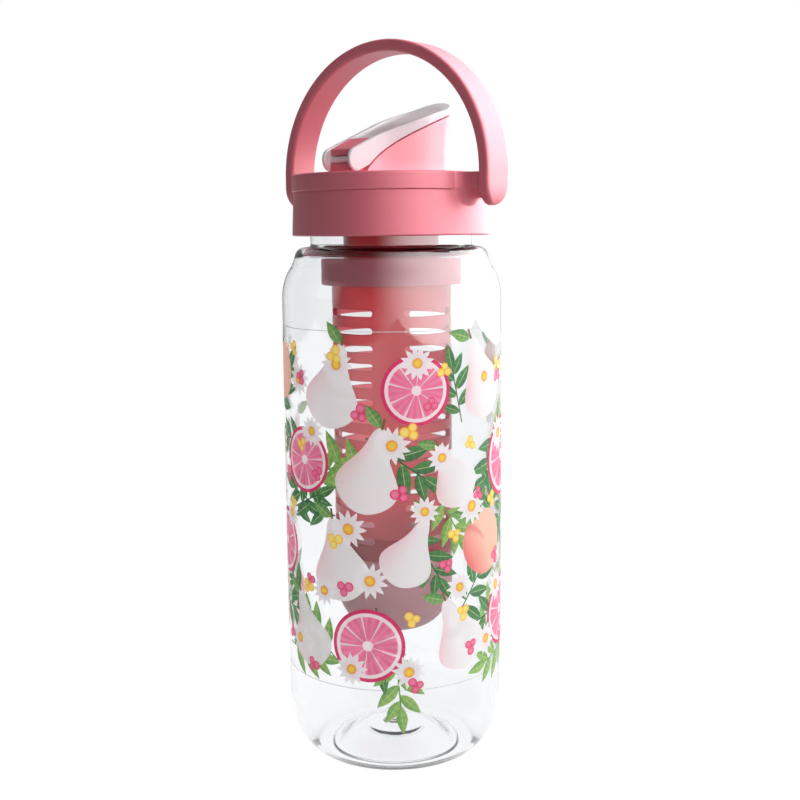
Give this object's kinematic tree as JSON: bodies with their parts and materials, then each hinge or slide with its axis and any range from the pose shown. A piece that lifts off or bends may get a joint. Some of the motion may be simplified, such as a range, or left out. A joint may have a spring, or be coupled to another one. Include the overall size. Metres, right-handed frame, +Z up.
{
  "type": "infuser water bottle",
  "caption": "Clear blown bottle with a screw lid, a flip-up drinking spout, a swinging strap handle and a slotted fruit basket that hangs inside and closes with a cup.",
  "frame": {"origin": "centre of the bottle's foot, on the surface that it stands on", "axes": "+Z up along the bottle's axis, +X along the handle's pivots, +Y from the cover's hinge towards the drinking tip"},
  "size_m": [0.0894, 0.075, 0.2459],
  "materials": {
    "clear_body": "clear, glossy blown copolyester",
    "pink_plastic": "satin moulded plastic",
    "white_plastic": "satin gloss moulded plastic",
    "clear_salmon": "translucent salmon pink",
    "frosted_salmon": "frosted, translucent salmon pink",
    "silicone": "milky silicone"
  },
  "bodies": {
    "bottle": {"bottle_body": "clear_body"},
    "lid_seal": {"lid_gasket": "silicone"},
    "stub_seal": {"spout_o_ring": "silicone"},
    "lid": {"lid_cap": "pink_plastic", "lid_collar": "pink_plastic", "lid_liner": "clear_salmon", "spout_body": "pink_plastic"},
    "cover": {"flip_cover": "white_plastic", "cover_seal_plug": "silicone"},
    "handle": {"carry_handle": "pink_plastic"},
    "infuser_seal": {"infuser_gasket": "silicone"},
    "infuser": {"infuser_collar": "pink_plastic", "infuser_basket": "clear_salmon"},
    "cup": {"infuser_cup": "frosted_salmon"}
  },
  "joints": [
    {"name": "lid_off", "type": "slide", "parent": "bottle", "child": "lid_seal", "axis": [0, 0, 1], "range_m": [0, 0.18]},
    {"name": "lid_rise", "type": "slide", "parent": "lid_seal", "child": "stub_seal", "axis": [0, 0, 1], "range_m": [0, 0.0051]},
    {"name": "lid_unscrew", "type": "hinge", "parent": "stub_seal", "child": "lid", "pos_m": [0, 0, 0.18], "axis": [0, 0, 1], "range_deg": [0, 450]},
    {"name": "cover_flip", "type": "hinge", "parent": "lid", "child": "cover", "pos_m": [0, -0.0236, 0.20542], "axis": [1, 0, 0], "range_deg": [0, 27]},
    {"name": "handle_swing", "type": "hinge", "parent": "lid", "child": "handle", "pos_m": [0, 0, 0.19752], "axis": [1, 0, 0], "range_deg": [-116, 116]},
    {"name": "infuser_drop", "type": "slide", "parent": "lid", "child": "infuser_seal", "axis": [0, 0, -1], "range_m": [0, 0.0091]},
    {"name": "infuser_unscrew", "type": "hinge", "parent": "infuser_seal", "child": "infuser", "pos_m": [0, 0, 0.17], "axis": [0, 0, -1], "range_deg": [0, 540]},
    {"name": "cup_pull", "type": "slide", "parent": "infuser", "child": "cup", "axis": [0, 0, -1], "range_m": [0, 0.014]}
  ],
  "couplings": [
    {"joint": "lid_rise", "follows": "lid_unscrew", "m_per_rad": 0.00063662},
    {"joint": "infuser_drop", "follows": "infuser_unscrew", "m_per_rad": 0.00095493}
  ]
}
